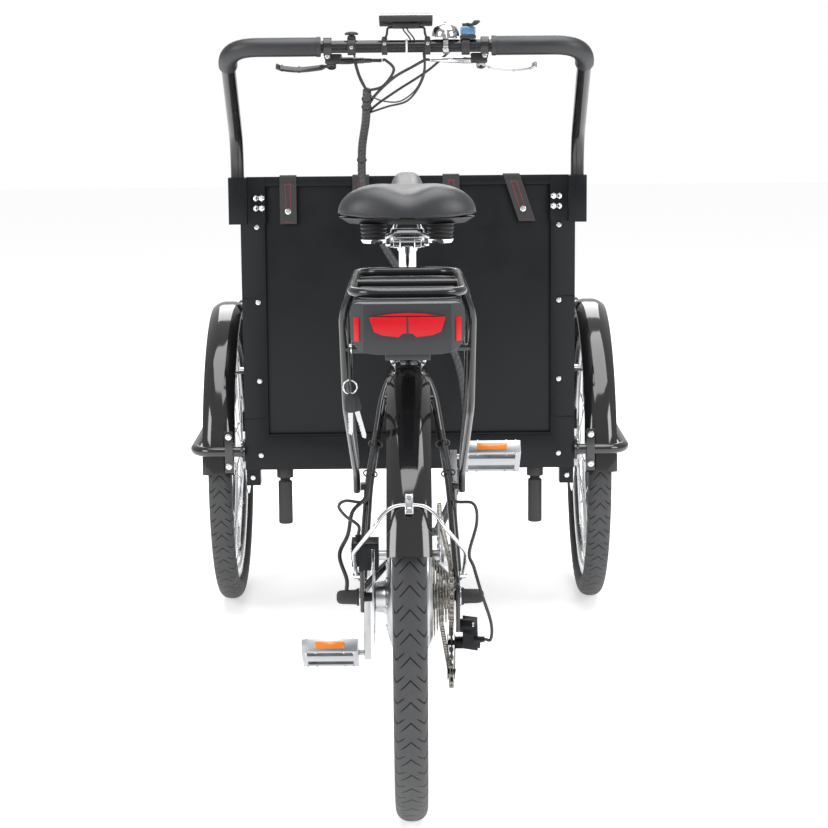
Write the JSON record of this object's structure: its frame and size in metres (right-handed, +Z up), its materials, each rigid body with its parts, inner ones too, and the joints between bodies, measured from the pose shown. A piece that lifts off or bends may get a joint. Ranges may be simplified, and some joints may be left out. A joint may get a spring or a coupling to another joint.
{
  "type": "electric cargo tricycle",
  "caption": "Electric cargo tricycle: an open box on a steered front module between front wheels, a chain-driven rear wheel with hub motor, and a battery under the rear rack.",
  "frame": {"origin": "on the ground, at the middle of the width and of the length", "axes": "+Z up, +Y towards the front, +X towards the rider's right"},
  "size_m": [0.861, 2.182, 1.1952],
  "materials": {
    "battery_case": "fine grain",
    "bell": "polished",
    "bell_striker": "polished",
    "bench": "painted satin",
    "box_floor": "painted satin",
    "box_frame": "satin",
    "brake_lever_left": "black satin",
    "brake_lever_right": "satin",
    "cable_harness": "spiral wrap",
    "cassette": "oiled",
    "chain": "oiled",
    "crank_left": "satin",
    "crank_right": "satin",
    "derailleur": "black satin",
    "display": "matte housing",
    "front_fender_left": "gloss",
    "front_fender_right": "gloss",
    "front_tyre_left": "matte",
    "front_tyre_right": "matte",
    "front_wheel_left": "satin",
    "front_wheel_right": "satin",
    "grip_left": "soft matte",
    "grip_right": "soft matte",
    "handlebar": "satin",
    "hub_motor": "cast, satin",
    "key_ring": "plain, black key heads",
    "lever_bracket_left": "black satin",
    "lever_bracket_right": "black satin",
    "main_frame": "gloss",
    "panel_front": "painted satin",
    "panel_left": "painted satin",
    "panel_rear": "painted satin",
    "panel_right": "painted satin",
    "pedal_left": "satin",
    "pedal_right": "satin",
    "pulley_lower": "matte",
    "pulley_upper": "matte",
    "rear_axle": "black rubber end caps",
    "rear_cables_left": "satin sheath",
    "rear_caliper": "black anodised",
    "rear_disc": "ground",
    "rear_fender": "gloss",
    "rear_fender_stay": "polished wire",
    "rear_rack": "satin",
    "rear_rim": "satin",
    "rear_tyre": "matte",
    "saddle_base": "black, chrome rails",
    "saddle_cushion": "soft satin cover",
    "seatpost": "polished",
    "shift_cable": "satin sheath",
    "shifter_body": "translucent blue window",
    "shifter_lever": "satin",
    "strap_left": "woven webbing with red edge stitching",
    "strap_right": "woven webbing with red edge stitching",
    "switch_body": "satin",
    "switch_button": "matte",
    "tail_light_lens": "clear red",
    "wheel_guard_left": "gloss",
    "wheel_guard_right": "gloss"
  },
  "bodies": {
    "rear_frame": {"main_frame": "main_frame", "rear_axle": "rear_axle", "rear_fender": "rear_fender", "rear_fender_stay": "rear_fender_stay", "rear_caliper": "rear_caliper", "derailleur": "derailleur", "chain": "chain", "rear_rack": "rear_rack", "rear_cables_left": "rear_cables_left", "shift_cable": "shift_cable"},
    "rear_wheel": {"rear_rim": "rear_rim", "rear_tyre": "rear_tyre", "hub_motor": "hub_motor", "rear_disc": "rear_disc"},
    "sprockets": {"cassette": "cassette"},
    "cranks": {"crank_right": "crank_right", "crank_left": "crank_left"},
    "guide_pulley": {"pulley_upper": "pulley_upper"},
    "tension_pulley": {"pulley_lower": "pulley_lower"},
    "left_pedal": {"pedal_left": "pedal_left"},
    "right_pedal": {"pedal_right": "pedal_right"},
    "battery": {"battery_case": "battery_case", "tail_light_lens": "tail_light_lens"},
    "keys": {"key_ring": "key_ring"},
    "seat": {"seatpost": "seatpost", "saddle_base": "saddle_base", "saddle_cushion": "saddle_cushion"},
    "front_module": {"box_frame": "box_frame", "box_floor": "box_floor", "panel_rear": "panel_rear", "panel_front": "panel_front", "panel_left": "panel_left", "panel_right": "panel_right", "bench": "bench", "strap_left": "strap_left", "strap_right": "strap_right", "wheel_guard_left": "wheel_guard_left", "wheel_guard_right": "wheel_guard_right", "front_fender_left": "front_fender_left", "front_fender_right": "front_fender_right", "handlebar": "handlebar", "grip_left": "grip_left", "grip_right": "grip_right", "lever_bracket_left": "lever_bracket_left", "lever_bracket_right": "lever_bracket_right", "display": "display", "bell": "bell", "shifter_body": "shifter_body", "switch_body": "switch_body", "cable_harness": "cable_harness"},
    "left_front_wheel": {"front_wheel_left": "front_wheel_left", "front_tyre_left": "front_tyre_left"},
    "right_front_wheel": {"front_wheel_right": "front_wheel_right", "front_tyre_right": "front_tyre_right"},
    "left_brake_lever": {"brake_lever_left": "brake_lever_left"},
    "right_brake_lever": {"brake_lever_right": "brake_lever_right"},
    "striker": {"bell_striker": "bell_striker"},
    "shift_paddle": {"shifter_lever": "shifter_lever"},
    "horn_button": {"switch_button": "switch_button"}
  },
  "joints": [
    {"name": "steering", "type": "hinge", "parent": "rear_frame", "child": "front_module", "pos_m": [0, 0.532, 0.3], "axis": [0, 0, 1], "range_deg": [-34, 34], "deforming": ["cable_harness"]},
    {"name": "rear_wheel_spin", "type": "hinge", "parent": "rear_frame", "child": "rear_wheel", "pos_m": [0, -0.764, 0.327], "axis": [1, 0, 0], "continuous": true},
    {"name": "crank_spin", "type": "hinge", "parent": "rear_frame", "child": "cranks", "pos_m": [0, -0.313, 0.284], "axis": [1, 0, 0], "continuous": true},
    {"name": "sprocket_spin", "type": "hinge", "parent": "rear_frame", "child": "sprockets", "pos_m": [0.0485, -0.764, 0.327], "axis": [1, 0, 0], "continuous": true},
    {"name": "guide_pulley_spin", "type": "hinge", "parent": "rear_frame", "child": "guide_pulley", "pos_m": [0.061, -0.742, 0.25], "axis": [1, 0, 0], "continuous": true},
    {"name": "tension_pulley_spin", "type": "hinge", "parent": "rear_frame", "child": "tension_pulley", "pos_m": [0.061, -0.716, 0.198], "axis": [1, 0, 0], "continuous": true},
    {"name": "left_pedal_spin", "type": "hinge", "parent": "cranks", "child": "left_pedal", "pos_m": [-0.138, -0.313, 0.114], "axis": [1, 0, 0], "continuous": true},
    {"name": "right_pedal_spin", "type": "hinge", "parent": "cranks", "child": "right_pedal", "pos_m": [0.138, -0.313, 0.454], "axis": [1, 0, 0], "continuous": true},
    {"name": "battery_slide", "type": "slide", "parent": "rear_frame", "child": "battery", "axis": [0, -1, 0], "range_m": [0, 0.38]},
    {"name": "key_swing", "type": "hinge", "parent": "rear_frame", "child": "keys", "pos_m": [-0.08, -0.929, 0.67581], "axis": [1, 0, 0], "range_deg": [-35, 35]},
    {"name": "seat_height", "type": "slide", "parent": "rear_frame", "child": "seat", "axis": [0, -0.3908, 0.9205], "range_m": [-0.014, 0.1]},
    {"name": "left_front_wheel_spin", "type": "hinge", "parent": "front_module", "child": "left_front_wheel", "pos_m": [-0.375, 0.552, 0.3], "axis": [1, 0, 0], "continuous": true},
    {"name": "right_front_wheel_spin", "type": "hinge", "parent": "front_module", "child": "right_front_wheel", "pos_m": [0.375, 0.552, 0.3], "axis": [1, 0, 0], "continuous": true},
    {"name": "left_brake_pull", "type": "hinge", "parent": "front_module", "child": "left_brake_lever", "pos_m": [-0.132, -0.035, 1.107], "axis": [0, 0.578, 0.816], "range_deg": [0, 16], "stiffness_Nm_per_rad": 1, "springref_deg": -8.59},
    {"name": "right_brake_pull", "type": "hinge", "parent": "front_module", "child": "right_brake_lever", "pos_m": [0.132, -0.035, 1.107], "axis": [0, -0.578, -0.816], "range_deg": [0, 16], "stiffness_Nm_per_rad": 1, "springref_deg": -8.59},
    {"name": "striker_flick", "type": "hinge", "parent": "front_module", "child": "striker", "pos_m": [0.0855, -0.077, 1.1531], "axis": [0, 0, 1], "range_deg": [0, 25], "stiffness_Nm_per_rad": 0.02},
    {"name": "shift_turn", "type": "hinge", "parent": "front_module", "child": "shift_paddle", "pos_m": [0.108, -0.077, 1.172], "axis": [0, 0, 1], "range_deg": [-25, 25]},
    {"name": "button_press", "type": "slide", "parent": "front_module", "child": "horn_button", "axis": [0, 0, -1], "range_m": [0, 0.001], "stiffness_N_per_m": 500, "springref_m": -0.001}
  ],
  "couplings": [
    {"joint": "sprocket_spin", "follows": "crank_spin", "ratio": 3},
    {"joint": "tension_pulley_spin", "follows": "crank_spin", "ratio": 3.8182},
    {"joint": "guide_pulley_spin", "follows": "crank_spin", "ratio": -3.8182}
  ]
}
